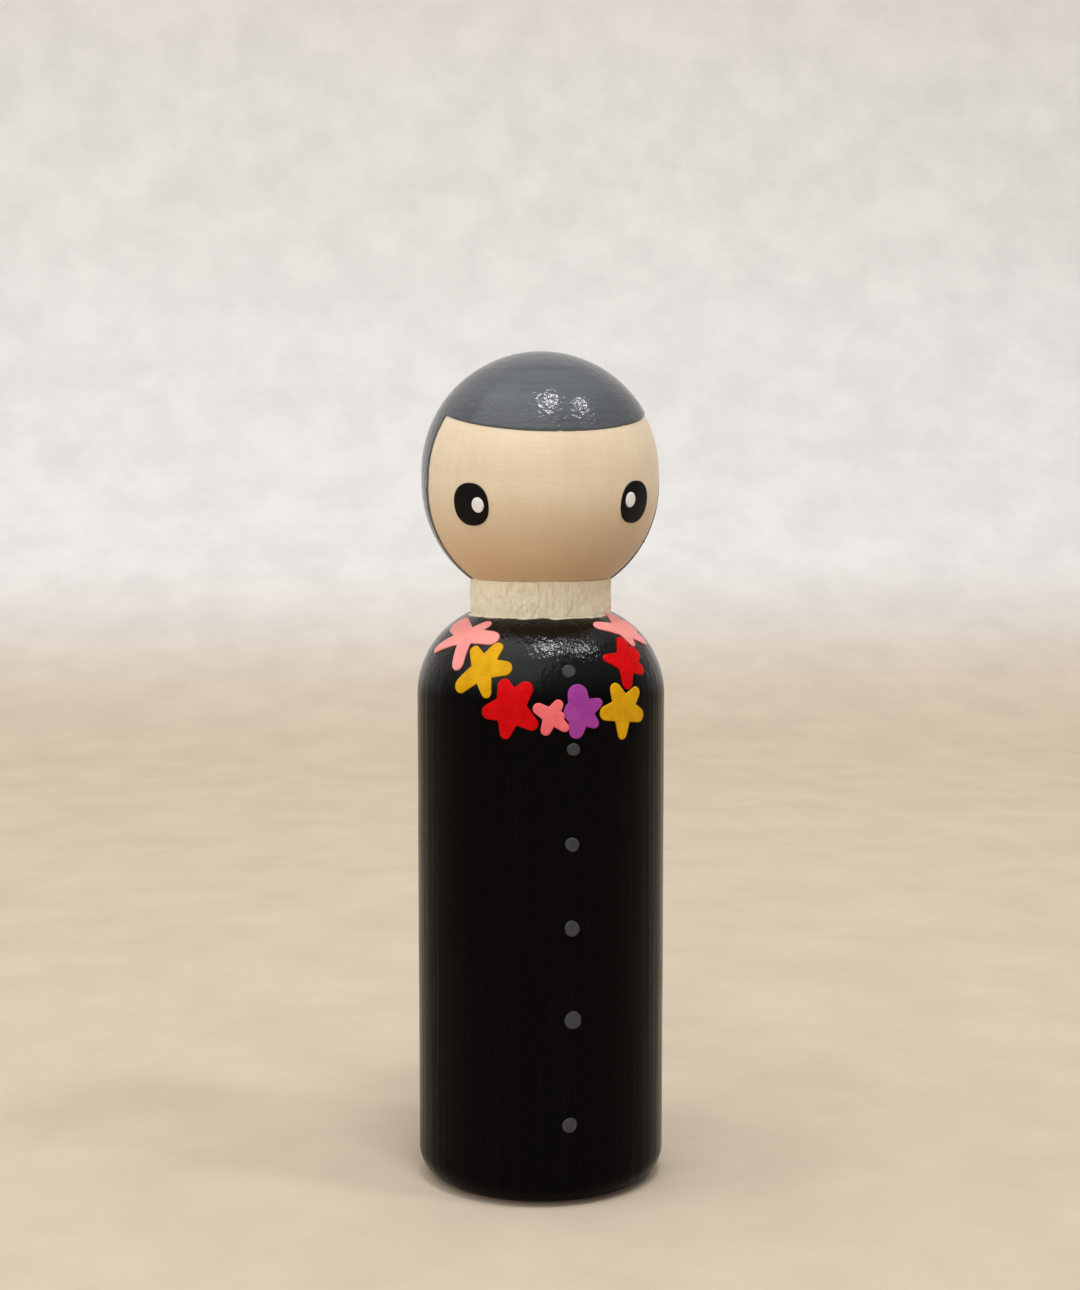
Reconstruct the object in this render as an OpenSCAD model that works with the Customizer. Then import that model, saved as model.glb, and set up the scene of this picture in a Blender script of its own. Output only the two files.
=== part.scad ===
// Peg doll turned from one piece of wood and painted by hand: a black robe with a row of buttons,
// slate-grey hair, two dot eyes and a garland of five-petal flowers round the shoulders.
// The doll stands on z = 0 with its axis on Z and faces -Y. Left and right are the doll's own.

/* [Turned peg] */
// Height from the foot to the crown
total_h = 90; // [80:0.5:110]
// Diameter of the bare wooden body
body_d = 26.6; // [24:0.1:30]
// Rounding of the foot's edge
foot_r = 3; // [1:0.1:6]
// Rounding of the shoulder
shoulder_r = 9.6; // [8:0.1:11]
// Diameter of the neck
neck_d = 15.2; // [12:0.1:18]
// Bare neck between the shoulder and the head
neck_len = 3.85; // [2:0.05:6]
// Diameter of the head
head_d = 25.5; // [23:0.1:28]
// Straight belt round the head, between its two half balls
head_belt = 1.2; // [0.5:0.1:4]

/* [Painted coats] */
// Thickness of the robe's and the hair's coat of paint
coat_t = 0.15; // [0.1:0.05:0.4]
// Height of the robe's hem over the ground, where the bare foot begins
hem_h = 0.2; // [0.1:0.1:0.9]
// Front hairline over the middle of the head
hairline_up = 4.9; // [3:0.1:7]
// Rise of the hairline from the front to the temples, in degrees
hairline_tilt = 12; // [0:1:20]
// Side hairlines in front of the axis, at the neck
right_front = 1.2; // [0:0.1:3]
left_front = 2.5; // [0:0.1:3]
// Forward lean of the side hairlines from the neck to the temples, in degrees
right_lean = 9.3; // [0:0.1:15]
left_lean = -9; // [-12:0.1:15]

/* [Eyes] */
// Turn of each eye from the front, in degrees
eye_angle = 43.4; // [25:0.1:50]
// Eyes under the middle of the head
eye_down = 2.6; // [0:0.1:5]
// Left eye over the right one, as they came out by hand
eye_skew = 0.2; // [0:0.1:0.5]
// Width of an eye
eye_w = 4.4; // [3:0.1:6]
// Height of an eye
eye_h = 4.5; // [3:0.1:6]
// Thickness of an eye's dab
eye_t = 0.2; // [0.1:0.05:0.4]
// Diameter of the white glint in each eye
glint_d = 1.5; // [0.8:0.1:1.8]
// Black rim between the glint and the eye's inner edge
glint_rim = 0.4; // [0.2:0.1:0.8]
// Left glint over the middle of its eye
glint_up = 0.3; // [0:0.1:0.5]
// Thickness of a glint's dab
glint_t = 0.15; // [0.1:0.05:0.3]

/* [Buttons] */
// Gap from the top button to the flower under it
button_over = 0.7; // [0.2:0.1:1.5]
// Gap from that flower to the second button
button_under = 0.4; // [0.2:0.1:2]
// Bottom button's middle over the ground
button_last = 9; // [8:0.1:20]
// Buttons in the row
button_count = 6; // [3:1:8]
// Turn of the row of buttons from the front, in degrees
button_angle = 6; // [-10:1:20]
// Mean diameter of a button
button_d = 1.55; // [1:0.05:2.5]
// Thickness of a button's dab
button_t = 0.2; // [0.1:0.05:0.4]

/* [Garland] */
// Thickness of a flower's dab
flower_t = 0.2; // [0.15:0.05:0.5]
// Lowest front flower down from the neck, measured on the surface
garland_drop = 12.2; // [10:0.1:14]
// Reach of a petal from the flower's middle, on a flower of mean size
petal_reach = 3.2; // [2.6:0.1:3.6]
// Flowers round the back
back_count = 6; // [4:1:7]
// Turn of the first and the last back flower from the front, in degrees
back_first_angle = 108; // [100:1:120]
back_last_angle = 234; // [225:1:245]
// Back flowers down from the neck, measured on the surface
back_down = 5.5; // [4.5:0.1:6.5]

/* [Hidden] */
$fn = 96;
// Depth of the cutters that give a dab its outline, and their overshoot past a face
dab_reach = 5;
past = 1;
// Angle between two points of a flower's outline
outline_angle = 4;

// Levels and centres of the turned outline
body_r = body_d / 2;
neck_r = neck_d / 2;
head_r = head_d / 2;
crown_z = total_h - head_r;
cheek_z = crown_z - head_belt;
middle_z = (crown_z + cheek_z) / 2;
chin_z = cheek_z - sqrt(head_r * head_r - neck_r * neck_r);
collar_z = chin_z - neck_len;
shoulder_x = body_r - shoulder_r;
neck_out = max(neck_r - shoulder_x, 0);
shoulder_z = collar_z - sqrt(shoulder_r * shoulder_r - neck_out * neck_out);

// Arc of the robe's outside over the shoulder: radius, slope at the neck and length
robe_arc_r = shoulder_r + coat_t;
collar_tilt = acos(neck_out / robe_arc_r);
robe_arc_len = robe_arc_r * collar_tilt * PI / 180;

// Front hairline: its height at the brow, the brow's place and its slope
hairline_z = middle_z + hairline_up;
brow_y = -head_r * cos(head_tilt(hairline_z));
brow_slope = tan(hairline_tilt);

// Colours of the garland's paints
paints = [["pink", [0.97, 0.58, 0.58]], ["yellow", [0.85, 0.64, 0.1]], ["red", [0.76, 0.05, 0.06]],
    ["purple", [0.6, 0.26, 0.58]]];

// Flowers of the front, from the right shoulder to the left: paint, turn from the front in degrees, share
// of the garland's drop, the middle's share of the petal reach, and for each petal its direction in degrees
// (0 to the doll's left, 90 up), and its length and the radius of its tip as shares of the petal reach
front_flowers = [
    ["pink", -54.5, 0.31, 0.31,
        [[6, 1.3, 0.28], [56, 0.92, 0.2], [150, 1.5, 0.38], [199, 1.58, 0.16], [281, 1.25, 0.25]]],
    ["yellow", -36.5, 0.61, 0.36,
        [[6, 1.03, 0.25], [66, 1.03, 0.21], [127, 0.97, 0.18], [218, 1.17, 0.26], [289, 0.98, 0.18]]],
    ["red", -21.5, 0.93, 0.47,
        [[51, 1.02, 0.25], [107, 0.95, 0.23], [193, 1, 0.24], [259, 1.05, 0.19], [323, 1.08, 0.22]]],
    ["pink", -3.5, 1, 0.26,
        [[0, 0.45, 0.14], [58, 0.6, 0.17], [149, 0.66, 0.19], [250, 0.66, 0.17], [320, 0.73, 0.15]]],
    ["purple", 9.5, 0.97, 0.4,
        [[23, 0.84, 0.17], [97, 0.9, 0.34], [178, 0.54, 0.38], [259, 0.88, 0.25], [321, 0.8, 0.17]]],
    ["yellow", 31.5, 0.97, 0.41,
        [[40, 0.98, 0.19], [113, 0.93, 0.22], [187, 0.92, 0.25], [268, 1, 0.18], [341, 1.03, 0.24]]],
    ["red", 37, 0.57, 0.37,
        [[24, 0.97, 0.27], [68, 1, 0.24], [163, 0.9, 0.14], [258, 0.9, 0.22], [338, 0.9, 0.19]]],
    ["pink", 49, 0.25, 0.31,
        [[12, 1.2, 0.36], [55, 1.1, 0.3], [155, 1.12, 0.2], [276, 0.7, 0.18], [336, 1.3, 0.2]]],
];

// The flower in the row of buttons, and its petals that point up and down
front_flower = 4;
up_petal = 1;
down_petal = 3;

// Flowers of the back, spread evenly from the left shoulder to the right with the front's petal shapes
back_paints = ["yellow", "red", "purple", "pink", "yellow", "red"];
back_shapes = [5, 2, 4, 1, 6, 5];
back_spin_angle = 25;
back_step_angle = (back_last_angle - back_first_angle) / (back_count - 1);
back_flowers = [for (k = [0:back_count - 1]) let (shape = front_flowers[back_shapes[k % len(back_shapes)]])
    [back_paints[k % len(back_paints)], back_first_angle + back_step_angle * k, back_down / garland_drop,
    shape[3], spun(shape[4], back_spin_angle * k)]];
flowers = concat(front_flowers, back_flowers);

// Row of buttons down from the neck: one over the front flower, one under it and the rest evenly to
// the last, each with its hand-painted stray: turn in degrees, shift down in steps, share of the width
button_strays = [[-1, 0, 0.9], [0.5, 0, 0.87], [0, 0, 0.97], [0, -0.11, 1.06], [0.5, -0.13, 1.19],
    [-1, 0, 1.03]];
front_petals = front_flowers[front_flower][4];
front_down = front_flowers[front_flower][2] * garland_drop;
first_down = front_down - front_petals[up_petal][1] * petal_reach - button_over - button_width(0) / 2;
second_down = front_down + front_petals[down_petal][1] * petal_reach + button_under + button_width(1) / 2;
last_down = robe_arc_len + shoulder_z - button_last;
button_step = (last_down - second_down) / (button_count - 2);

button_names = [for (i = [0:button_count - 1]) str("button_", i + 1)];
flower_names = [for (i = [0:len(flowers) - 1]) str("flower_", i + 1, "_", flowers[i][0])];

// A button's own width and its distance down from the neck
function button_stray(i) = button_strays[i % len(button_strays)];
function button_width(i) = button_d * button_stray(i)[2];
function button_down(i) = i == 0 ? first_down : second_down + button_step * (i - 1 + button_stray(i)[1]);

// Petals turned together by an angle
function spun(petals, spin) = [for (p = petals) [p[0] + spin, p[1], p[2]]];

// Smallest angle between two directions
function apart(a, b) = abs((a - b + 900) % 360 - 180);

// Slope of the head's outline from the vertical at a height
function head_tilt(z) = z > crown_z ? asin((z - crown_z) / head_r)
    : z < cheek_z ? -asin((cheek_z - z) / head_r) : 0;

// Slope, radius and height of the robe's outside at a distance down from the neck
function robe_tilt(down) = max(collar_tilt * (1 - down / robe_arc_len), 0);
function robe_radius(down) = shoulder_x + robe_arc_r * cos(robe_tilt(down));
function robe_height(down) = shoulder_z + robe_arc_r * sin(robe_tilt(down)) - max(down - robe_arc_len, 0);

// Places a shape on a round surface: its Z points outwards and its Y up along the surface
module on_surface(turn, radius, height, tilt)
    rotate([0, 0, turn]) translate([0, -radius, height]) rotate([90 - tilt, 0, 0]) children();

module on_head(turn, height)
    on_surface(turn, head_r * cos(head_tilt(height)), height, head_tilt(height)) children();

module on_robe(turn, down)
    on_surface(turn, robe_radius(down), robe_height(down), robe_tilt(down)) children();

// Straight cutter of an outline, through the surface that it stands on
module cutter() linear_extrude(2 * dab_reach, center = true) children();

// Quarter of a disc, turned to its own corner
module quarter(r, turn) rotate(turn) intersection() {
    circle(r);
    square(r);
}

// Half section of the body, grown by a film of paint
module body_section(grow = 0) {
    translate([0, -grow]) square([body_r - foot_r, foot_r + grow]);
    translate([body_r - foot_r, foot_r]) quarter(foot_r + grow, -90);
    translate([0, foot_r]) square([body_r + grow, shoulder_z - foot_r]);
    translate([shoulder_x, shoulder_z]) quarter(shoulder_r + grow, 0);
    translate([0, shoulder_z]) square([shoulder_x, shoulder_r + grow]);
}

module neck_section() translate([0, shoulder_z]) square([neck_r, cheek_z - shoulder_z]);

// Half section of the head, grown by a film of paint
module head_section(grow = 0) {
    translate([0, crown_z]) quarter(head_r + grow, 0);
    translate([0, cheek_z]) square([head_r + grow, head_belt]);
    translate([0, cheek_z]) quarter(head_r + grow, -90);
}

// Film on the body or on the head, between two distances from the bare wood
module body_film(from, to) rotate_extrude() difference() {
    body_section(to);
    body_section(from);
    neck_section();
    translate([0, hem_h - dab_reach]) square([body_r + dab_reach, dab_reach]);
}

module head_film(from, to) rotate_extrude() difference() {
    head_section(to);
    head_section(from);
    neck_section();
}

// Room behind a side hairline, on the doll's left for side 1 and on its right for -1
module behind_hairline(side) {
    far = head_r + past;
    low_z = chin_z - 2 * past;
    front = side > 0 ? left_front : right_front;
    slope = tan(side > 0 ? left_lean : right_lean);
    translate([side > 0 ? -past : -far, 0]) rotate([90, 0, 90]) linear_extrude(far + past) polygon([
        [(chin_z - low_z) * slope - front, low_z],
        [far + past, low_z],
        [far + past, total_h],
        [(chin_z - total_h) * slope - front, total_h],
    ]);
}

// Wedge of the face under the front hairline, back to the side hairlines
module face_opening() difference() {
    far = head_r + past;
    rotate([90, 0, 90]) linear_extrude(2 * far, center = true) polygon([
        [-far, hairline_z - (far + brow_y) * brow_slope],
        [-far, chin_z - past],
        [far, chin_z - past],
        [far, hairline_z + (far - brow_y) * brow_slope],
    ]);
    behind_hairline(1);
    behind_hairline(-1);
}

module ellipse(w, h) {
    step = 360 / $fn;
    polygon([for (a = [0:step:360 - step]) [w / 2 * cos(a), h / 2 * sin(a)]]);
}

// Reach of a petal at an angle off its axis: a round tip, then straight sides that meet the round middle
function petal_share(off, long, tip, core) =
    let (far = long - tip, lean = asin((core - tip) / far),
        touch = atan2(tip * cos(lean), far + tip * sin(lean)))
    off < touch ? far * cos(off) + sqrt(pow(tip, 2) - pow(far * sin(off), 2))
    : off < 90 - lean ? core / sin(off + lean) : core;

// Flower outline: at each angle the petal that reaches furthest there
module flower_outline(core, petals) polygon([for (a = [0:outline_angle:360 - outline_angle])
    let (share = max([for (p = petals) petal_share(apart(a, p[0]), p[1], p[2], core)]))
    petal_reach * share * [cos(a), sin(a)]]);

module flower_cutter(i) on_robe(flowers[i][1], flowers[i][2] * garland_drop)
    cutter() flower_outline(flowers[i][3], flowers[i][4]);

module wooden_peg() color([0.88, 0.76, 0.6]) rotate_extrude() {
    body_section();
    neck_section();
    head_section();
}

module robe_coat() color([0.04, 0.04, 0.045]) body_film(0, coat_t);

module hair_coat() color([0.36, 0.38, 0.4]) difference() {
    head_film(0, coat_t);
    face_opening();
}

// Middle of an eye, on the doll's left for side 1 and on its right for -1
module on_eye(side) on_head(side * eye_angle, middle_z - eye_down + side * eye_skew / 2) children();

module eye(side) color([0.03, 0.03, 0.03]) intersection() {
    head_film(0, eye_t);
    on_eye(side) cutter() ellipse(eye_w, eye_h);
}

module glint(side) color([0.95, 0.95, 0.95]) intersection() {
    inward = eye_w / 2 - glint_rim - glint_d / 2;
    head_film(eye_t, eye_t + glint_t);
    on_eye(side) translate([-side * inward, side > 0 ? glint_up : 0]) cutter() circle(d = glint_d);
}

module button(i) color([0.3, 0.31, 0.33]) intersection() {
    body_film(coat_t, coat_t + button_t);
    on_robe(button_angle + button_stray(i)[0], button_down(i)) cutter() circle(d = button_width(i));
}

// Each flower is painted over the edge of the one before it
module flower(i) color(paints[search([flowers[i][0]], paints)[0]][1]) difference() {
    intersection() {
        body_film(coat_t, coat_t + flower_t);
        flower_cutter(i);
    }
    flower_cutter((i + 1) % len(flowers));
}

wooden_peg();
robe_coat();
hair_coat();
eye(1);  // left_eye
eye(-1);  // right_eye
glint(1);  // left_eye_glint
glint(-1);  // right_eye_glint
for (i = [0:len(button_names) - 1])
    button(i);
for (i = [0:len(flower_names) - 1])
    flower(i);
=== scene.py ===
import math
import bpy
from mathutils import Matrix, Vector, noise


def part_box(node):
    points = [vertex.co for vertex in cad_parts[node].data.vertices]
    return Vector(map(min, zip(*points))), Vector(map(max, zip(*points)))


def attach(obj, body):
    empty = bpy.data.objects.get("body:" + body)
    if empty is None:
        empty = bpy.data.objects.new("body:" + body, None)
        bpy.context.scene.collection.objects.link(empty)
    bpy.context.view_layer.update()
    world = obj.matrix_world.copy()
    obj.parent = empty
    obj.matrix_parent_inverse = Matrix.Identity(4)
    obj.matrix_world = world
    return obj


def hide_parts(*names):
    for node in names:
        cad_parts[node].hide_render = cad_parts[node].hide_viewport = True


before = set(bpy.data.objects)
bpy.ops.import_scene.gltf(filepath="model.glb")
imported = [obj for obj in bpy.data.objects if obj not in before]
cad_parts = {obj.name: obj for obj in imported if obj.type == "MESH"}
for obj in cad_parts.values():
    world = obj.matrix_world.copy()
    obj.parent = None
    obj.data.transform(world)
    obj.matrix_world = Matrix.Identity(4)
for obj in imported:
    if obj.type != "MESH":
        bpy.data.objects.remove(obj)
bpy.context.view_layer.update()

mm = 0.001
weld = 0.001 * mm  # points closer than this are one point


# Small helpers for the work in edit mode

def startFresh():
    bpy.ops.object.select_all(action="DESELECT")


def arcPoint(centreX, centreZ, radius, angle):
    return centreX + radius * math.cos(angle), centreZ + radius * math.sin(angle)


def arcPoints(centreX, centreZ, radius, start, end, steps):
    angles = [start + (end - start) * i / steps for i in range(steps + 1)]
    return [arcPoint(centreX, centreZ, radius, angle) for angle in angles]


def linePoints(first, last, steps):
    return [tuple(a + (b - a) * i / steps for a, b in zip(first, last)) for i in range(steps + 1)]


def joinPoints(*runs):
    outline = []
    for run in runs:
        for point in run:
            if not outline or math.dist(outline[-1], point) > weld:
                outline.append(point)
    return outline


def turnOnLathe(name, outline, turns):
    # one point is drawn along the outline, then spun round the doll's axis
    startFresh()
    bpy.ops.mesh.primitive_plane_add(size=mm)
    piece = bpy.context.object
    piece.name = piece.data.name = name
    bpy.ops.object.mode_set(mode="EDIT")
    bpy.ops.mesh.select_mode(type="VERT")
    bpy.ops.mesh.select_all(action="SELECT")
    bpy.ops.mesh.merge(type="CENTER")
    bpy.ops.transform.translate(value=(outline[0][0], 0, outline[0][1]))
    for here, there in zip(outline, outline[1:]):
        step = (there[0] - here[0], 0, there[1] - here[1])
        bpy.ops.mesh.extrude_region_move(TRANSFORM_OT_translate={"value": step})
    bpy.ops.mesh.select_all(action="SELECT")
    bpy.ops.mesh.spin(steps=turns, angle=2 * math.pi, center=(0, 0, 0), axis=(0, 0, 1))
    bpy.ops.mesh.select_all(action="SELECT")
    bpy.ops.mesh.remove_doubles(threshold=weld)
    bpy.ops.mesh.normals_make_consistent(inside=False)
    bpy.ops.object.mode_set(mode="OBJECT")
    return piece


def selectFaces(piece, test):
    bpy.ops.object.mode_set(mode="EDIT")
    bpy.ops.mesh.select_mode(type="FACE")
    bpy.ops.mesh.select_all(action="DESELECT")
    bpy.ops.object.mode_set(mode="OBJECT")
    for face in piece.data.polygons:
        face.select = test(face.center)
    bpy.ops.object.mode_set(mode="EDIT")


def addModifier(piece, kind, **settings):
    # set up and applied at once, on the active piece
    modifier = piece.modifiers.new(kind.title(), kind)
    for key, value in settings.items():
        setattr(modifier, key, value)
    bpy.context.view_layer.objects.active = piece
    bpy.ops.object.modifier_apply(modifier=modifier.name)


def paintWobble(piece, size, depth):
    # hand-brushed paint is never quite level
    cloud = bpy.data.textures.new(piece.name + "Wobble", "CLOUDS")
    cloud.noise_scale = size
    addModifier(piece, "DISPLACE", texture=cloud, texture_coords="LOCAL", strength=depth, mid_level=0.5)


def finishPiece(piece, finish, node):
    piece.data.materials.clear()
    piece.data.materials.append(finish)
    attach(piece, "root")
    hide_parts(node)


# Node helpers for the finishes

def newFinish(name):
    finish = bpy.data.materials.new(name)
    finish.use_nodes = True
    tree = finish.node_tree
    return finish, tree, tree.nodes["Principled BSDF"]


def addNode(tree, kind, sockets=None, **settings):
    node = tree.nodes.new("ShaderNode" + kind)
    for key, value in settings.items():
        setattr(node, key, value)
    for key, value in (sockets or {}).items():
        node.inputs[key].default_value = value
    return node


def stretchedNoise(tree, stretch, detail=4.0, roughness=0.6):
    # noise on Object coordinates, stretched along the axes: repeats per metre in x, y and z
    coords = addNode(tree, "TexCoord")
    place = addNode(tree, "Mapping", {"Scale": stretch})
    pattern = addNode(tree, "TexNoise", {"Scale": 1.0, "Detail": detail, "Roughness": roughness})
    tree.links.new(coords.outputs["Object"], place.inputs["Vector"])
    tree.links.new(place.outputs["Vector"], pattern.inputs["Vector"])
    return pattern.outputs["Fac"]


def beyond(tree, low, high, axis="Z"):
    # 0 below low and 1 above high, by the height or along another axis
    coords = addNode(tree, "TexCoord")
    split = addNode(tree, "SeparateXYZ")
    tree.links.new(coords.outputs["Object"], split.inputs[0])
    return mapped(tree, split.outputs[axis], low, high, 0.0, 1.0, "SMOOTHSTEP")


def mapped(tree, source, low, high, outLow, outHigh, kind="LINEAR"):
    sockets = {"From Min": low, "From Max": high, "To Min": outLow, "To Max": outHigh}
    span = addNode(tree, "MapRange", sockets, interpolation_type=kind)
    tree.links.new(source, span.inputs["Value"])
    return span.outputs["Result"]


def combined(tree, operation, first, second):
    node = addNode(tree, "Math", operation=operation)
    for socket, value in zip(node.inputs, (first, second)):
        if isinstance(value, float):
            socket.default_value = value
        else:
            tree.links.new(value, socket)
    return node.outputs[0]


def mixedColour(tree, share, first, second):
    node = addNode(tree, "Mix", data_type="RGBA")
    tree.links.new(share, node.inputs["Factor"])
    for socket, value in zip((node.inputs[6], node.inputs[7]), (first, second)):
        if isinstance(value, tuple):
            socket.default_value = (*value, 1.0)
        else:
            tree.links.new(value, socket)
    return node.outputs[2]


def mixedValue(tree, share, first, second):
    node = addNode(tree, "Mix", data_type="FLOAT")
    tree.links.new(share, node.inputs["Factor"])
    for socket, value in zip((node.inputs[2], node.inputs[3]), (first, second)):
        if isinstance(value, float):
            socket.default_value = value
        else:
            tree.links.new(value, socket)
    return node.outputs[0]


def addBump(tree, height, depth, under=None):
    bump = addNode(tree, "Bump", {"Strength": 1.0, "Distance": depth})
    tree.links.new(height, bump.inputs["Height"])
    if under:
        tree.links.new(under, bump.inputs["Normal"])
    return bump.outputs["Normal"]


# The turned peg's measures, from the frame where the frame has them

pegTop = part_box("wooden_peg")[1]
robeLow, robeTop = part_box("robe_coat")
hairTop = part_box("hair_coat")[1]

peg = {
    "footEdge": 3 * mm,         # rounding of the foot
    "shoulderRound": 9.6 * mm,
    "neckRadius": 7.6 * mm,
    "neckLength": 3.85 * mm,
    "headBelt": 1.2 * mm,       # straight band between the head's two half balls
    "turns": 240,
    "tear": 0.20 * mm,          # how far the neck's torn fibres stand off
    "tearWidth": 0.45 * mm,
    "tearLength": 1.3 * mm,
    "tearFade": 0.5 * mm,       # the fibres lie down this far from the neck's ends
}
bodyRadius = pegTop.x
filmThickness = robeTop.x - pegTop.x
headRadius = hairTop.x - filmThickness
crownZ = pegTop.z - headRadius
cheekZ = crownZ - peg["headBelt"]
chinZ = cheekZ - math.sqrt(headRadius ** 2 - peg["neckRadius"] ** 2)
collarZ = chinZ - peg["neckLength"]
shoulderX = bodyRadius - peg["shoulderRound"]
collarTilt = math.acos((peg["neckRadius"] - shoulderX) / peg["shoulderRound"])
shoulderZ = collarZ - peg["shoulderRound"] * math.sin(collarTilt)
chinTilt = math.asin((chinZ - cheekZ) / headRadius)


# Camera, at the photograph's place

camera = {
    "distance": 227.9 * mm,   # level distance to the doll's axis
    "height": 79.4 * mm,
    "turn": -8.0,             # degrees round the doll from straight in front
    "pitch": 5.26,            # degrees down
    "aside": 0.022,           # degrees past the axis
    "focal": 2100 / 1290,     # of the frame's long side
}
cameraTurn = math.radians(camera["turn"])
bpy.ops.object.camera_add(
    location=(
        camera["distance"] * math.sin(cameraTurn),
        -camera["distance"] * math.cos(cameraTurn),
        camera["height"],
    ),
    rotation=(math.radians(90 - camera["pitch"]), 0, cameraTurn + math.radians(camera["aside"])),
)
lens = bpy.context.object.data
lens.sensor_width = 36
lens.lens = lens.sensor_width * camera["focal"]
lens.clip_start = 10 * mm
lens.clip_end = 20.0
bpy.context.scene.camera = bpy.context.object
print("camera set")


# Stage: a pale floor that sweeps up into a wall behind the doll

stage = {
    "halfWidth": 3.0,
    "wallAt": 0.30,       # where the floor starts to curve up
    "sweep": 0.25,
    "wallHeight": 1.8,
    "floorColour": (0.64, 0.53, 0.41),
    "wallColour": (0.82, 0.81, 0.80),
    "wallFrom": 0.05,     # height from which on the wall has its own colour
    "mottle": 0.91,       # share of the colour that the darker clouds keep
    "clouds": (55, 55, 55),
    "roughness": 0.9,
    "shine": 0.2,
}
startFresh()
bpy.ops.mesh.primitive_plane_add(
    size=2 * stage["halfWidth"], location=(0, stage["wallAt"] - stage["halfWidth"], 0)
)
floor = bpy.context.object
floor.name = floor.data.name = "paleSweep"
bpy.ops.object.transform_apply(location=True, rotation=True, scale=True)
bpy.ops.object.mode_set(mode="EDIT")
bpy.ops.mesh.select_mode(type="EDGE")
bpy.ops.mesh.select_all(action="DESELECT")
bpy.ops.object.mode_set(mode="OBJECT")
for edge in floor.data.edges:
    ends = [floor.data.vertices[i].co.y for i in edge.vertices]
    edge.select = min(ends) > stage["wallAt"] - mm
bpy.ops.object.mode_set(mode="EDIT")
bpy.ops.mesh.spin(
    steps=24, angle=math.pi / 2, center=(0, stage["wallAt"], stage["sweep"]), axis=(-1, 0, 0)
)
bpy.ops.mesh.extrude_region_move(TRANSFORM_OT_translate={"value": (0, 0, stage["wallHeight"])})
bpy.ops.mesh.select_all(action="SELECT")
bpy.ops.mesh.normals_make_consistent(inside=False)
bpy.ops.object.mode_set(mode="OBJECT")
bpy.ops.object.shade_smooth()
stageFinish, tree, shader = newFinish("palePlaster")
up = beyond(tree, 0.0, stage["wallFrom"])
mottle = mapped(tree, stretchedNoise(tree, stage["clouds"]), 0.35, 0.65, 1.0, stage["mottle"])
clouded = addNode(tree, "VectorMath", operation="SCALE")
tree.links.new(mixedColour(tree, up, stage["floorColour"], stage["wallColour"]), clouded.inputs[0])
tree.links.new(mottle, clouded.inputs["Scale"])
tree.links.new(clouded.outputs[0], shader.inputs["Base Color"])
shader.inputs["Roughness"].default_value = stage["roughness"]
shader.inputs["Specular IOR Level"].default_value = stage["shine"]
floor.data.materials.append(stageFinish)
print("stage set")


# Light: a wide soft box at the left, another above, two small windows and a dim dome

lamps = {
    "keyBox": {"turn": -48, "rise": 46, "far": 1.30, "size": (1.90, 1.60), "power": 7.8},
    "topSoft": {"turn": 180, "rise": 80, "far": 1.50, "size": (2.40, 2.40), "power": 9.5},
    "windowOne": {"turn": 9, "rise": 70, "far": 0.80, "size": (0.15, 0.07), "power": 1.8},
    "windowTwo": {"turn": 60, "rise": 57, "far": 0.80, "size": (0.08, 0.07), "power": 0.9},
}
lampAim = Vector((0, 0, 60 * mm))
dome = {
    "level": 0.34,
    "zenith": 0.54,
    "left": 1.4,      # shares of the level at the two sides
    "right": 0.6,
    "colour": (1.0, 0.985, 0.96, 1.0),
}
for lampName, lamp in lamps.items():
    turn, rise = math.radians(lamp["turn"]), math.radians(lamp["rise"])
    away = Vector((math.sin(turn) * math.cos(rise), -math.cos(turn) * math.cos(rise), math.sin(rise)))
    startFresh()
    bpy.ops.object.light_add(type="AREA", location=lampAim + away * lamp["far"])
    lampObject = bpy.context.object
    lampObject.name = lampName
    lampObject.rotation_euler = away.to_track_quat("Z", "Y").to_euler()
    lampObject.data.shape = "RECTANGLE"
    lampObject.data.size, lampObject.data.size_y = lamp["size"]
    lampObject.data.energy = lamp["power"]
world = bpy.data.worlds.new("dimDome")
bpy.context.scene.world = world
world.use_nodes = True
tree = world.node_tree
skyWay = addNode(tree, "TexCoord")
skySplit = addNode(tree, "SeparateXYZ")
tree.links.new(skyWay.outputs["Generated"], skySplit.inputs[0])
skyLevel = mapped(tree, skySplit.outputs["Z"], 0.0, 1.0, dome["level"], dome["zenith"])
skySide = mapped(tree, skySplit.outputs["X"], -1.0, 1.0, dome["left"], dome["right"])
skyLevel = combined(tree, "MULTIPLY", skyLevel, skySide)
tree.links.new(skyLevel, tree.nodes["Background"].inputs["Strength"])
tree.nodes["Background"].inputs["Color"].default_value = dome["colour"]
bpy.context.scene.view_settings.view_transform = "Standard"
print("light set")


# Wood: varnished on the head, with painted shade towards the chin, raw and torn at the neck, end grain
# under the foot

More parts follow.
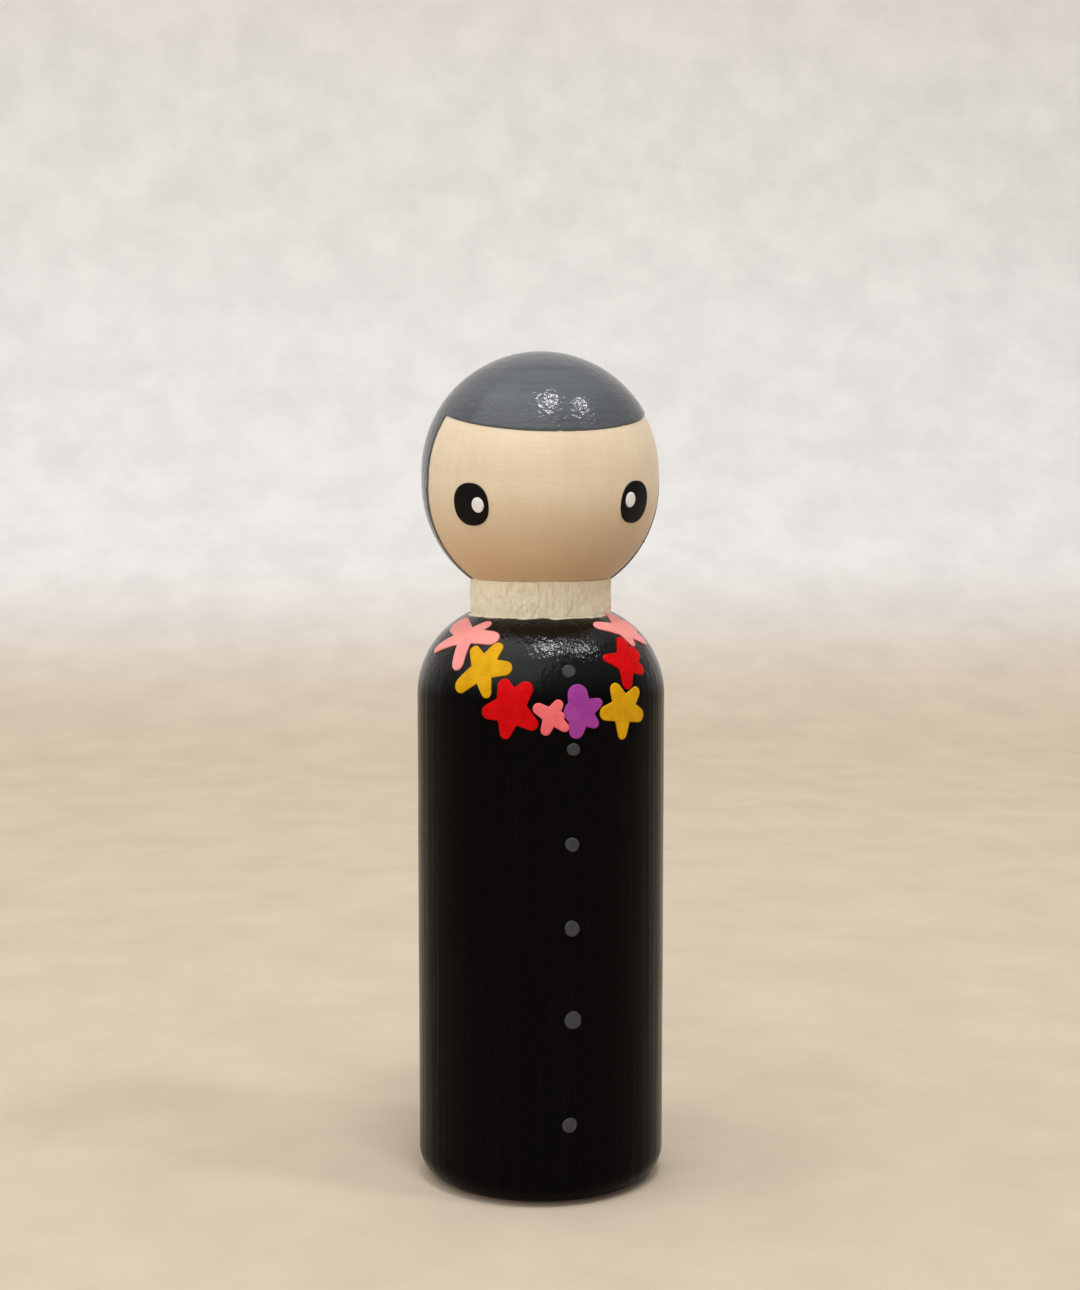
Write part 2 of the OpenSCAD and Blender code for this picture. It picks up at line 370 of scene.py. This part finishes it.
woodLook = {
    "pale": (0.88, 0.75, 0.56),
    "deep": (0.74, 0.57, 0.38),
    "chinShade": (0.62, 0.41, 0.22),    # painted shade under the cheeks, towards the chin
    "chinShadeFar": (0.40, 0.27, 0.155),
    "chinShadeShare": 0.75,
    "shadedSide": (-2 * mm, 9 * mm),  # across the doll, from the chin's painted shade to a deeper painted shade on the doll's left
    "raw": (1.0, 0.92, 0.72),
    "rawDeep": (0.90, 0.73, 0.48),
    "endGrain": (0.66, 0.50, 0.32),
    "grain": (1500, 1500, 150),    # fine lines along the peg
    "grainShare": 0.16,
    "ringWidth": 1.1 * mm,         # growth rings round a pith outside the blank
    "pith": (9 * mm, 21 * mm, 0),
    "ringShare": 0.10,
    "blotches": (230, 230, 120),   # soft clouds in the varnish
    "blotchShare": 0.35,
    "fibres": (1700, 1700, 700),   # torn fibres at the neck
    "chips": (900, 900, 520),      # splinters torn out between them
    "tornShare": 0.3,
    "turning": (400, 400, 2600),   # tool marks round the head
    "relief": 0.03 * mm,
    "fibreRelief": 3.0,            # times the relief, at the neck
    "chipRelief": 8.0,
    "roughness": (0.85, 0.42),     # raw and varnished
    "shine": 0.35,
}


def growthRings(tree):
    coords = addNode(tree, "TexCoord")
    place = addNode(tree, "Mapping", {"Location": woodLook["pith"], "Scale": (1, 1, 0.06)})
    rings = addNode(
        tree, "TexWave",
        {"Scale": 0.31 / woodLook["ringWidth"], "Distortion": 2.2, "Detail": 2.0, "Detail Scale": 0.4},
        wave_type="RINGS", rings_direction="Z", wave_profile="SAW",
    )
    tree.links.new(coords.outputs["Object"], place.inputs["Vector"])
    tree.links.new(place.outputs["Vector"], rings.inputs["Vector"])
    return rings.outputs["Fac"]


def woodFinish():
    finish, tree, shader = newFinish("turnedWood")
    fine = stretchedNoise(tree, woodLook["grain"], 6.0, 0.65)
    fine = mapped(tree, fine, 0.30, 0.70, 0.0, woodLook["grainShare"])
    rings = growthRings(tree)
    blotch = stretchedNoise(tree, woodLook["blotches"], 3.0)
    blotch = mapped(tree, blotch, 0.30, 0.70, 0.0, woodLook["blotchShare"])
    grain = combined(tree, "ADD", fine, mapped(tree, rings, 0.0, 1.0, 0.0, woodLook["ringShare"]))
    grain = combined(tree, "ADD", grain, blotch)
    varnished = mixedColour(tree, grain, woodLook["pale"], woodLook["deep"])
    # painted shade: the varnished wood darkens from the cheeks down to the chin, more on the doll's left
    # side
    low = mapped(tree, beyond(tree, chinZ, cheekZ + mm), 0.0, 1.0, woodLook["chinShadeShare"], 0.0)
    shadedSide = beyond(tree, *woodLook["shadedSide"], "X")
    chinShade = mixedColour(tree, shadedSide, woodLook["chinShade"], woodLook["chinShadeFar"])
    # from here on, varnished carries the painted shade at the chin
    varnished = mixedColour(tree, low, varnished, chinShade)
    fibre = stretchedNoise(tree, woodLook["fibres"], 5.0, 0.7)
    chips = stretchedNoise(tree, woodLook["chips"], 3.0, 0.6)
    tornFibre = mapped(tree, fibre, 0.42, 0.75, 0.0, woodLook["tornShare"])
    tornChips = mapped(tree, chips, 0.54, 0.66, 0.0, woodLook["tornShare"])
    torn = combined(tree, "ADD", tornFibre, tornChips)
    raw = mixedColour(tree, torn, woodLook["raw"], woodLook["rawDeep"])
    head = beyond(tree, chinZ - 0.10 * mm, chinZ + 0.05 * mm)
    sides = mixedColour(tree, head, raw, varnished)
    endGrain = mixedColour(tree, rings, woodLook["endGrain"], woodLook["deep"])
    foot = beyond(tree, 0.05 * mm, 0.12 * mm)
    tree.links.new(mixedColour(tree, foot, endGrain, sides), shader.inputs["Base Color"])
    tree.links.new(mapped(tree, head, 0.0, 1.0, *woodLook["roughness"]), shader.inputs["Roughness"])
    shader.inputs["Specular IOR Level"].default_value = woodLook["shine"]
    turning = stretchedNoise(tree, woodLook["turning"], 2.0)
    fibreRelief = mapped(tree, fibre, 0.0, 1.0, 0.0, woodLook["fibreRelief"])
    chipRelief = mapped(tree, chips, 0.35, 0.65, woodLook["chipRelief"], 0.0)
    lifted = combined(tree, "ADD", fibreRelief, chipRelief)
    ridge = mixedValue(tree, head, lifted, combined(tree, "ADD", fine, turning))
    tree.links.new(addBump(tree, ridge, woodLook["relief"]), shader.inputs["Normal"])
    return finish


def woodenPeg():
    footX = bodyRadius - peg["footEdge"]
    outline = joinPoints(
        linePoints((0, 0), (footX, 0), 6),
        arcPoints(footX, peg["footEdge"], peg["footEdge"], -math.pi / 2, 0, 10),
        linePoints((bodyRadius, peg["footEdge"]), (bodyRadius, shoulderZ), 24),
        arcPoints(shoulderX, shoulderZ, peg["shoulderRound"], 0, collarTilt, 22),
        linePoints((peg["neckRadius"], collarZ), (peg["neckRadius"], chinZ), 18),
        arcPoints(0, cheekZ, headRadius, chinTilt, 0, 26),
        arcPoints(0, crownZ, headRadius, 0, math.pi / 2, 40),
    )
    piece = turnOnLathe("woodenPeg", outline, peg["turns"])
    for point in piece.data.vertices:
        reach = math.hypot(point.co.x, point.co.y)
        room = min(point.co.z - collarZ, chinZ - point.co.z)
        if room > weld:
            # torn fibres: long up the neck and narrow round it
            around = point.co.xy / peg["tearWidth"]
            tear = noise.noise(Vector((around.x, around.y, point.co.z / peg["tearLength"])))
            push = peg["tear"] * tear * min(room / peg["tearFade"], 1)
            point.co.xy *= (reach + push) / reach
    bpy.ops.object.shade_smooth_by_angle(angle=math.radians(25))
    finishPiece(piece, woodFinish(), "wooden_peg")
    return piece


pegPiece = woodenPeg()
print("peg turned")


# Robe: one film of glossy black paint, brushed up and down, thin at its edges

robe = {
    "lip": 0.30 * mm,        # length over which the film thins to its edge
    "bury": 0.05 * mm,       # depth of the film's underside in the wood
    "bareRing": 0.32 * mm,   # bare wood left between the film and the neck
    "wander": 0.30 * mm,     # how far the brushed edge wanders
    "wanderReach": 2 * mm,   # length of the film that goes along
    "wanderSize": 1.9 * mm,
    "wobble": (5 * mm, 0.05 * mm),   # size and depth
    "black": (0.0012, 0.0011, 0.0012),
    "worn": (0.0026, 0.0024, 0.0023),
    "roughness": (0.12, 0.22),
    "shine": 0.045,
    "streaks": (1300, 1300, 22),
    "streakDepth": 0.08 * mm,
    "pebbles": (1900, 1900, 1900),
    "pebbleDepth": 0.06 * mm,
    "pebbleFade": 4 * mm,    # height over which they come in, from the foot of the shoulder
    "shoulderGloss": 0.5,
    "glossRoughness": 0.10,
}


def filmEdge(distance):
    # thickness of a paint film at this distance from its edge
    inside = min(max(distance / robe["lip"], 0), 1)
    return filmThickness * math.sqrt(1 - (1 - inside) ** 2)


def robeFinish():
    finish, tree, shader = newFinish("blackRobePaint")
    streak = stretchedNoise(tree, robe["streaks"], 4.0, 0.6)
    pebble = stretchedNoise(tree, robe["pebbles"], 2.0, 0.5)
    worn = mapped(tree, streak, 0.45, 0.75, 0.0, 1.0)
    tree.links.new(mixedColour(tree, worn, robe["black"], robe["worn"]), shader.inputs["Base Color"])
    tree.links.new(mapped(tree, streak, 0.3, 0.7, *robe["roughness"]), shader.inputs["Roughness"])
    shader.inputs["Specular IOR Level"].default_value = robe["shine"]
    normal = addBump(tree, streak, robe["streakDepth"])
    # the brush leaves pebbles where it turns over the shoulder
    onShoulder = beyond(tree, shoulderZ, shoulderZ + robe["pebbleFade"])
    pebble = combined(tree, "MULTIPLY", pebble, onShoulder)
    normal = addBump(tree, pebble, robe["pebbleDepth"], normal)
    tree.links.new(normal, shader.inputs["Normal"])
    tree.links.new(normal, shader.inputs["Coat Normal"])
    gloss = combined(tree, "MULTIPLY", onShoulder, robe["shoulderGloss"])
    tree.links.new(gloss, shader.inputs["Coat Weight"])
    shader.inputs["Coat Roughness"].default_value = robe["glossRoughness"]
    return finish


def robeCoat():
    footX = bodyRadius - peg["footEdge"]
    hemAngle = math.asin((robeLow.z - peg["footEdge"]) / (peg["footEdge"] + filmThickness))
    edgeTilt = collarTilt - robe["bareRing"] / peg["shoulderRound"]
    hemLip = robe["lip"] / peg["footEdge"]
    collarLip = robe["lip"] / peg["shoulderRound"]
    lipShares = (0, 0.06, 0.25, 0.55, 1)
    outer = []
    for share in lipShares:
        reach = peg["footEdge"] + filmEdge(share * robe["lip"])
        outer.append(arcPoint(footX, peg["footEdge"], reach, hemAngle + share * hemLip))
    outer += arcPoints(footX, peg["footEdge"], peg["footEdge"] + filmThickness, hemAngle + hemLip, 0, 8)
    outer += linePoints(
        (bodyRadius + filmThickness, peg["footEdge"]), (bodyRadius + filmThickness, shoulderZ), 60
    )
    outer += arcPoints(
        shoulderX, shoulderZ, peg["shoulderRound"] + filmThickness, 0, edgeTilt - collarLip, 30
    )
    for share in reversed(lipShares):
        reach = peg["shoulderRound"] + filmEdge(share * robe["lip"])
        outer.append(arcPoint(shoulderX, shoulderZ, reach, edgeTilt - share * collarLip))
    inner = joinPoints(
        arcPoints(shoulderX, shoulderZ, peg["shoulderRound"] - robe["bury"], edgeTilt, 0, 10),
        arcPoints(footX, peg["footEdge"], peg["footEdge"] - robe["bury"], 0, hemAngle, 4),
    )
    outline = joinPoints(outer, inner, outer[:1])
    piece = turnOnLathe("robeCoat", outline, peg["turns"])
    shoulder = peg["shoulderRound"]
    for point in piece.data.vertices:
        reach = math.hypot(point.co.x, point.co.y)
        tilt = math.atan2(point.co.z - shoulderZ, reach - shoulderX)
        near = 1 - (edgeTilt - tilt) * shoulder / robe["wanderReach"]
        if near > 0 and point.co.z > shoulderZ:
            # the collar's edge slides up and down the shoulder
            where = point.co.xy / robe["wanderSize"]
            drift = noise.noise(Vector((where.x, where.y, 3.1)))
            drift += 0.4 * noise.noise(Vector((3 * where.x, 3 * where.y, 7.7)))  # finer and weaker
            slid = tilt + robe["wander"] * drift * near / shoulder
            far = math.hypot(point.co.z - shoulderZ, reach - shoulderX)
            newReach = shoulderX + far * math.cos(slid)
            point.co.xy *= newReach / reach
            point.co.z = shoulderZ + far * math.sin(slid)
    paintWobble(piece, *robe["wobble"])
    bpy.ops.object.shade_smooth_by_angle(angle=math.radians(60))
    finishPiece(piece, robeFinish(), "robe_coat")
    return piece


robePiece = robeCoat()
print("robe painted")


# Hair: a film over the head, cut along a front and a side hairline

hair = {
    "brow": 4.9 * mm,          # front hairline above the head's middle
    "browRise": 12.0,          # degrees, the front hairline's slope towards the temples
    # side hairlines on the doll's left and right: place in front of the axis at the chin, degrees forwards
    "leftSide": (2.5 * mm, -9.0),
    "rightSide": (1.2 * mm, 9.3),
    "lip": 0.16 * mm,
    "edge": 0.2,               # share of the thickness that is left at the edge
    "bury": 0.05 * mm,
    "cutZone": 0.6 * mm,       # along the cut, points closer than the next value are merged
    "crowded": 0.12 * mm,
    "wobble": (4 * mm, 0.05 * mm),   # size and depth
    "slate": (0.103, 0.115, 0.129),
    "dark": (0.084, 0.094, 0.106),
    "roughness": (0.10, 0.18),
    "shine": 0.34,
    "strokes": (90, 90, 1700),
    "strokeDepth": 0.02 * mm,
    "pebbles": (1600, 1600, 2600),
    "pebbleDepth": 0.07 * mm,
}


def hairFinish():
    finish, tree, shader = newFinish("slateHairPaint")
    stroke = stretchedNoise(tree, hair["strokes"], 4.0, 0.6)
    pebble = stretchedNoise(tree, hair["pebbles"], 2.0, 0.5)
    tone = mapped(tree, stroke, 0.35, 0.70, 0.0, 1.0)
    tree.links.new(mixedColour(tree, tone, hair["slate"], hair["dark"]), shader.inputs["Base Color"])
    tree.links.new(mapped(tree, stroke, 0.3, 0.7, *hair["roughness"]), shader.inputs["Roughness"])
    shader.inputs["Specular IOR Level"].default_value = hair["shine"]
    normal = addBump(tree, stroke, hair["strokeDepth"])
    tree.links.new(addBump(tree, pebble, hair["pebbleDepth"], normal), shader.inputs["Normal"])
    return finish


def hairCoat():
    reach = headRadius + filmThickness
    outline = joinPoints(
        arcPoints(0, cheekZ, reach, chinTilt, 0, 40),
        arcPoints(0, crownZ, reach, 0, math.pi / 2, 64),
    )
    piece = turnOnLathe("hairCoat", outline, peg["turns"])
    rise = math.radians(hair["browRise"])
    hairlineZ = (crownZ + cheekZ) / 2 + hair["brow"]
    browY = -math.sqrt(headRadius ** 2 - (hairlineZ - crownZ) ** 2)
    browAt, browNormal = Vector((0, browY, hairlineZ)), Vector((0, -math.sin(rise), math.cos(rise)))
    sides = []
    for front, lean in (hair["rightSide"], hair["leftSide"]):
        lean = math.radians(lean)
        sides.append((Vector((0, -front, chinZ)), Vector((0, math.cos(lean), math.sin(lean)))))

    def aboveBrow(spot):
        return (spot - browAt).dot(browNormal)

    def behindSide(spot):
        sideAt, sideNormal = sides[spot.x > 0]
        return (spot - sideAt).dot(sideNormal)

    selectFaces(piece, lambda spot: behindSide(spot) < mm and spot.z < pegTop.z - 2 * mm)
    bpy.ops.mesh.bisect(plane_co=browAt, plane_no=browNormal, threshold=weld)
    for onLeft, (sideAt, sideNormal) in enumerate(sides):
        selectFaces(piece, lambda spot: aboveBrow(spot) < mm and (spot.x > 0) == onLeft)
        bpy.ops.mesh.bisect(plane_co=sideAt, plane_no=sideNormal, threshold=weld)
    selectFaces(piece, lambda spot: aboveBrow(spot) < 0 and behindSide(spot) < 0)
    bpy.ops.mesh.delete(type="FACE")
    # points crowded along the cut are merged, so that the film's lip is even
    bpy.ops.mesh.select_mode(type="VERT")
    bpy.ops.mesh.select_all(action="DESELECT")
    bpy.ops.object.mode_set(mode="OBJECT")
    for point in piece.data.vertices:
        cut = max(aboveBrow(point.co), behindSide(point.co))
        point.select = cut < hair["cutZone"]
    bpy.ops.object.mode_set(mode="EDIT")
    bpy.ops.mesh.remove_doubles(threshold=hair["crowded"])
    bpy.ops.mesh.select_mode(type="FACE")
    bpy.ops.mesh.select_all(action="SELECT")
    bpy.ops.mesh.normals_make_consistent(inside=False)
    bpy.ops.mesh.inset(thickness=hair["lip"], use_boundary=True, use_even_offset=True)
    bpy.ops.mesh.select_mode(type="VERT")
    bpy.ops.mesh.select_all(action="DESELECT")
    bpy.ops.mesh.select_non_manifold(extend=False)
    bpy.ops.object.mode_set(mode="OBJECT")
    for point in piece.data.vertices:
        if point.select:
            # the film's edge lies close on the wood
            centre = Vector((0, 0, min(max(point.co.z, cheekZ), crownZ)))
            edgeRadius = headRadius + hair["edge"] * filmThickness
            point.co = centre + (point.co - centre).normalized() * edgeRadius
    addModifier(
        piece, "SOLIDIFY", thickness=filmThickness + hair["bury"], offset=-1.0, use_even_offset=False
    )
    paintWobble(piece, *hair["wobble"])
    bpy.ops.object.shade_smooth_by_angle(angle=math.radians(60))
    finishPiece(piece, hairFinish(), "hair_coat")


hairCoat()
print("hair painted")


# Dabs of thick paint: a disc is pulled to its outline, laid on what is painted already, and thickened

def headSpot(turn, height):
    centre = min(max(height, cheekZ), crownZ)
    tilt = math.asin((height - centre) / headRadius)
    return math.radians(turn), headRadius * math.cos(tilt), height, tilt


def robeSpot(turn, down):
    # a place on the robe, by its length down the paint from the neck
    rounding = peg["shoulderRound"] + filmThickness
    topTilt = math.acos((peg["neckRadius"] - shoulderX) / rounding)
    tilt = max(topTilt - down / rounding, 0)
    below = max(down - topTilt * rounding, 0)
    reach = shoulderX + rounding * math.cos(tilt)
    return math.radians(turn), reach, shoulderZ + rounding * math.sin(tilt) - below, tilt


dab = {
    # shares of the disc between its rings, close together at the rim
    "rings": (0.008, 0.012, 0.018, 0.026, 0.036, 0.06, 0.10, 0.15, 0.18, 0.18, 0.13),
    "lip": 0.18 * mm,      # rounding of a dab's edge
    "edge": 0.12,          # share of the thickness that is left at the edge
    "lift": 2 * mm,        # the disc starts this far off the paint
    "offset": 0.8,         # 1 lays all of the thickness on the paint below, less sinks a part of it
    "points": 120,         # round a dab, and round a small one
    "smallPoints": 72,
    "pebbles": (2300, 2300, 2300),
}


def layDab(name, spot, size, outline, thickness, canvas, points=dab["points"]):
    turn, reach, height, tilt = spot
    outward = Vector((math.cos(tilt) * math.sin(turn), -math.cos(tilt) * math.cos(turn), math.sin(tilt)))
    place = Vector((reach * math.sin(turn), -reach * math.cos(turn), height)) + outward * dab["lift"]
    startFresh()
    bpy.ops.mesh.primitive_circle_add(
        vertices=points, radius=size, fill_type="NGON", location=place,
        rotation=(math.pi / 2 - tilt, 0, turn),
    )
    piece = bpy.context.object
    piece.name = piece.data.name = name
    bpy.ops.object.mode_set(mode="EDIT")
    bpy.ops.mesh.select_mode(type="FACE")
    for share in dab["rings"]:
        bpy.ops.mesh.inset(thickness=share * size)
    bpy.ops.mesh.poke()
    bpy.ops.object.mode_set(mode="OBJECT")
    for point in piece.data.vertices:
        share = point.co.length / size
        way = math.atan2(point.co.y, point.co.x)
        pulled = share * outline(way)
        point.co = Vector((pulled * math.cos(way), pulled * math.sin(way), 0))
    rim = [point.co.copy() for point in piece.data.vertices][:points]
    group = piece.vertex_groups.new(name="thickness")
    for point in piece.data.vertices:
        inside = min(min((point.co - edge).length for edge in rim) / dab["lip"], 1)
        swell = math.sqrt(1 - (1 - inside) ** 2)
        group.add([point.index], dab["edge"] + (1 - dab["edge"]) * swell, "REPLACE")
    addModifier(
        piece, "SHRINKWRAP", target=canvas, wrap_method="PROJECT", use_project_z=True,
        use_negative_direction=True, use_positive_direction=False,
    )
    addModifier(piece, "SOLIDIFY", thickness=thickness, offset=dab["offset"], vertex_group="thickness")
    piece.vertex_groups.clear()
    bpy.ops.object.transform_apply(location=True, rotation=True, scale=True)
    bpy.ops.object.shade_smooth()
    return piece


def copyOf(piece):
    startFresh()
    piece.select_set(True)
    bpy.context.view_layer.objects.active = piece
    bpy.ops.object.duplicate()
    return bpy.context.object


def joinTo(canvas, piece):
    # the next dab is laid over this one
    extra = copyOf(piece)
    startFresh()
    extra.parent = None
    extra.select_set(True)
    canvas.select_set(True)
    bpy.context.view_layer.objects.active = canvas
    bpy.ops.object.join()


canvas = copyOf(pegPiece)
canvas.parent = None
joinTo(canvas, robePiece)


def paintFinish(name, colours, gloss, shine, strokes, depth):
    # thick craft paint: a body colour, a deeper one in the strokes, and a pebbled gloss
    finish, tree, shader = newFinish(name)
    stroke = stretchedNoise(tree, strokes, 3.0, 0.55)
    tone = mapped(tree, stroke, 0.35, 0.68, 0.0, 1.0)
    tree.links.new(mixedColour(tree, tone, *colours), shader.inputs["Base Color"])
    tree.links.new(mapped(tree, stroke, 0.3, 0.7, *gloss), shader.inputs["Roughness"])
    shader.inputs["Specular IOR Level"].default_value = shine
    pebble = stretchedNoise(tree, dab["pebbles"], 2.0, 0.5)
    tree.links.new(addBump(tree, pebble, depth), shader.inputs["Normal"])
    return finish


# Garland: five-petal flowers round the shoulders, each dabbed over the edge of the last

garland = {
    "thickness": 0.15 * mm,
    "drop": 12.2 * mm,        # lowest flowers, down the paint from the neck
    "petal": 3.2 * mm,        # usual reach of a petal
    "backDown": 5.5 * mm,
    "backTurns": (108, 234),  # first and last flower of the back, in degrees round the doll
    "backSpin": 25.0,         # degrees by which each back flower is turned from the one before
    "coral": 4,               # number of the small flower in a deeper pink
    "paint": {"gloss": (0.18, 0.30), "shine": 0.05, "strokes": (700, 700, 700), "depth": 0.07 * mm},
}
frontFlowers = [
    # paint, degrees round the doll, share of the drop, the middle's share of the usual reach,
    # petals: direction in degrees, length and the tip's radius as shares of the usual reach
    (
        "pink", -54.5, 0.31, 0.31,
        ((6, 1.3, 0.28), (56, 0.92, 0.2), (150, 1.5, 0.38), (199, 1.58, 0.16), (281, 1.25, 0.25)),
    ),
    (
        "yellow", -36.5, 0.61, 0.36,
        ((6, 1.03, 0.25), (66, 1.03, 0.21), (127, 0.97, 0.18), (218, 1.17, 0.26), (289, 0.98, 0.18)),
    ),
    (
        "red", -21.5, 0.93, 0.47,
        ((51, 1.02, 0.25), (107, 0.95, 0.23), (193, 1, 0.24), (259, 1.05, 0.19), (323, 1.08, 0.22)),
    ),
    (
        "pink", -3.5, 1, 0.26,
        ((0, 0.45, 0.14), (58, 0.6, 0.17), (149, 0.66, 0.19), (250, 0.66, 0.17), (320, 0.73, 0.15)),
    ),
    (
        "purple", 9.5, 0.97, 0.4,
        ((23, 0.84, 0.17), (97, 0.9, 0.34), (178, 0.54, 0.38), (259, 0.88, 0.25), (321, 0.8, 0.17)),
    ),
    (
        "yellow", 31.5, 0.97, 0.41,
        ((40, 0.98, 0.19), (113, 0.93, 0.22), (187, 0.92, 0.25), (268, 1, 0.18), (341, 1.03, 0.24)),
    ),
    (
        "red", 37, 0.57, 0.37,
        ((24, 0.97, 0.27), (68, 1, 0.24), (163, 0.9, 0.14), (258, 0.9, 0.22), (338, 0.9, 0.19)),
    ),
    (
        "pink", 49, 0.25, 0.31,
        ((12, 1.2, 0.36), (55, 1.1, 0.3), (155, 1.12, 0.2), (276, 0.7, 0.18), (336, 1.3, 0.2)),
    ),
]
backPaints = ("yellow", "red", "purple", "pink", "yellow", "red")
backShapes = (5, 2, 4, 1, 6, 5)  # the front flowers, counted from 0, whose petals they share
flowerColours = {
    # body colour and the deeper one in the strokes
    "pink": ((0.95, 0.37, 0.34), (0.91, 0.31, 0.29)),
    "coral": ((0.93, 0.19, 0.20), (0.86, 0.15, 0.16)),
    "yellow": ((0.76, 0.41, 0.008), (0.64, 0.32, 0.004)),
    "red": ((0.68, 0.004, 0.006), (0.58, 0.002, 0.004)),
    "purple": ((0.39, 0.060, 0.36), (0.33, 0.046, 0.30)),
}


def petalShare(off, long, tip, core):
    # reach of a petal at an angle off its axis: a round tip, then straight sides to the round middle
    far = long - tip
    lean = math.asin((core - tip) / far)
    if off < math.atan2(tip * math.cos(lean), far + tip * math.sin(lean)):
        return far * math.cos(off) + math.sqrt(max(tip ** 2 - (far * math.sin(off)) ** 2, 0))
    if off < math.pi / 2 - lean:
        return core / math.sin(off + lean)
    return core


def petalOutline(core, petals):
    def outline(way):
        best = 0
        for petalWay, long, tip in petals:
            off = abs(math.remainder(way - math.radians(petalWay), 2 * math.pi))
            best = max(best, petalShare(off, long, tip, core))
        return garland["petal"] * best

    return outline


def allFlowers():
    flowers = []
    for paint, turn, drop, core, petals in frontFlowers:
        flowers.append((paint, turn, drop * garland["drop"], core, petals))
    firstTurn, lastTurn = garland["backTurns"]
    step = (lastTurn - firstTurn) / (len(backPaints) - 1)
    for k, (paint, shape) in enumerate(zip(backPaints, backShapes)):
        core, petals = frontFlowers[shape][3:]
        petals = [(way + garland["backSpin"] * k, long, tip) for way, long, tip in petals]
        flowers.append((paint, firstTurn + step * k, garland["backDown"], core, petals))
    return flowers


flowerFinishes = {
    paint: paintFinish(paint + "FlowerPaint", colours, **garland["paint"])
    for paint, colours in flowerColours.items()
}
flowers = list(enumerate(allFlowers(), 1))
frontCount = len(frontFlowers)
# the back is painted first, then the front from one shoulder to the other
for number, (paint, turn, down, core, petals) in flowers[frontCount:] + flowers[:frontCount]:
    flower = layDab(
        f"flower{number}{paint.title()}", robeSpot(turn, down), garland["petal"],
        petalOutline(core, petals), garland["thickness"], canvas,
    )
    joinTo(canvas, flower)
    look = flowerFinishes["coral" if number == garland["coral"] else paint]
    finishPiece(flower, look, f"flower_{number}_{paint}")
print("garland painted")


# Buttons: a row of thin grey dots down the robe

buttons = {
    "width": 1.55 * mm,
    "thickness": 0.15 * mm,
    "turn": 6.0,
    "first": 7.555 * mm,     # down the paint from the neck
    "second": 15.72 * mm,
    "step": 9.94 * mm,
    # each dot's stray round the doll in degrees, along the row in steps, and its share of the width
    "strays": [
        (-1, 0, 0.9), (0.5, 0, 0.87), (0, 0, 0.97), (0, -0.11, 1.06), (0.5, -0.13, 1.19), (-1, 0, 1.03),
    ],
    "wobble": (0.035, 0.02),  # shares by which a dot is oval and three-cornered
    "colours": ((0.060, 0.062, 0.064), (0.044, 0.046, 0.048)),
    "paint": {"gloss": (0.40, 0.52), "shine": 0.12, "strokes": (1500, 1500, 1500), "depth": 0.01 * mm},
}
buttonFinish = paintFinish("greyButtonPaint", buttons["colours"], **buttons["paint"])


def dotOutline(size, number):
    oval, cornered = buttons["wobble"]

    def outline(way):
        return size * (1 + oval * math.sin(2 * way + number) + cornered * math.sin(3 * way + 2 * number))

    return outline


for number, (stray, shift, share) in enumerate(buttons["strays"], 1):
    down = buttons["first"] if number == 1 else buttons["second"] + buttons["step"] * (number - 2 + shift)
    dotRadius = buttons["width"] * share / 2
    dot = layDab(
        f"button{number}", robeSpot(buttons["turn"] + stray, down), dotRadius,
        dotOutline(dotRadius, number), buttons["thickness"], canvas, dab["smallPoints"],
    )
    finishPiece(dot, buttonFinish, f"button_{number}")
print("buttons painted")


# Eyes: two black ovals, each with a white glint on its inner side

eyes = {
    "turn": 43.4,
    "heights": {"left": 74.15 * mm, "right": 73.95 * mm},
    "width": 4.4 * mm,
    "tall": 4.5 * mm,
    "square": 2.25,          # 2 is an ellipse, more is boxier
    "thickness": 0.2 * mm,
    "glintWidth": 1.45 * mm,
    "glintTall": 1.6 * mm,
    "glintIn": 1.05 * mm,
    "glintUp": {"left": 0.3 * mm, "right": 0.0},
    "glintThickness": 0.15 * mm,
    "black": ((0.0030, 0.0028, 0.0028), (0.0050, 0.0047, 0.0045)),
    "white": ((0.92, 0.91, 0.90), (0.87, 0.86, 0.85)),
    "paint": {"gloss": (0.34, 0.46), "shine": 0.1, "strokes": (900, 900, 900), "depth": 0.01 * mm},
    "glintPaint": {"gloss": (0.40, 0.50), "shine": 0.2, "strokes": (1500, 1500, 1500), "depth": 0.01 * mm},
}
eyeFinish = paintFinish("blackEyePaint", eyes["black"], **eyes["paint"])
glintFinish = paintFinish("whiteGlintPaint", eyes["white"], **eyes["glintPaint"])


def ovalOutline(width, tall, square):
    def outline(way):
        across = abs(math.cos(way) * 2 / width) ** square
        along = abs(math.sin(way) * 2 / tall) ** square
        return (across + along) ** (-1 / square)

    return outline


for side, sign in (("left", 1), ("right", -1)):
    eye = layDab(
        side + "Eye", headSpot(sign * eyes["turn"], eyes["heights"][side]), eyes["width"] / 2,
        ovalOutline(eyes["width"], eyes["tall"], eyes["square"]), eyes["thickness"], canvas,
    )
    joinTo(canvas, eye)
    finishPiece(eye, eyeFinish, side + "_eye")
    glintTurn = sign * (eyes["turn"] - math.degrees(eyes["glintIn"] / headRadius))
    glintHeight = eyes["heights"][side] + eyes["glintUp"][side]
    glint = layDab(
        side + "EyeGlint", headSpot(glintTurn, glintHeight), eyes["glintWidth"] / 2,
        ovalOutline(eyes["glintWidth"], eyes["glintTall"], 2.0), eyes["glintThickness"], canvas,
        dab["smallPoints"],
    )
    finishPiece(glint, glintFinish, side + "_eye_glint")
bpy.data.objects.remove(canvas)
print("eyes painted")
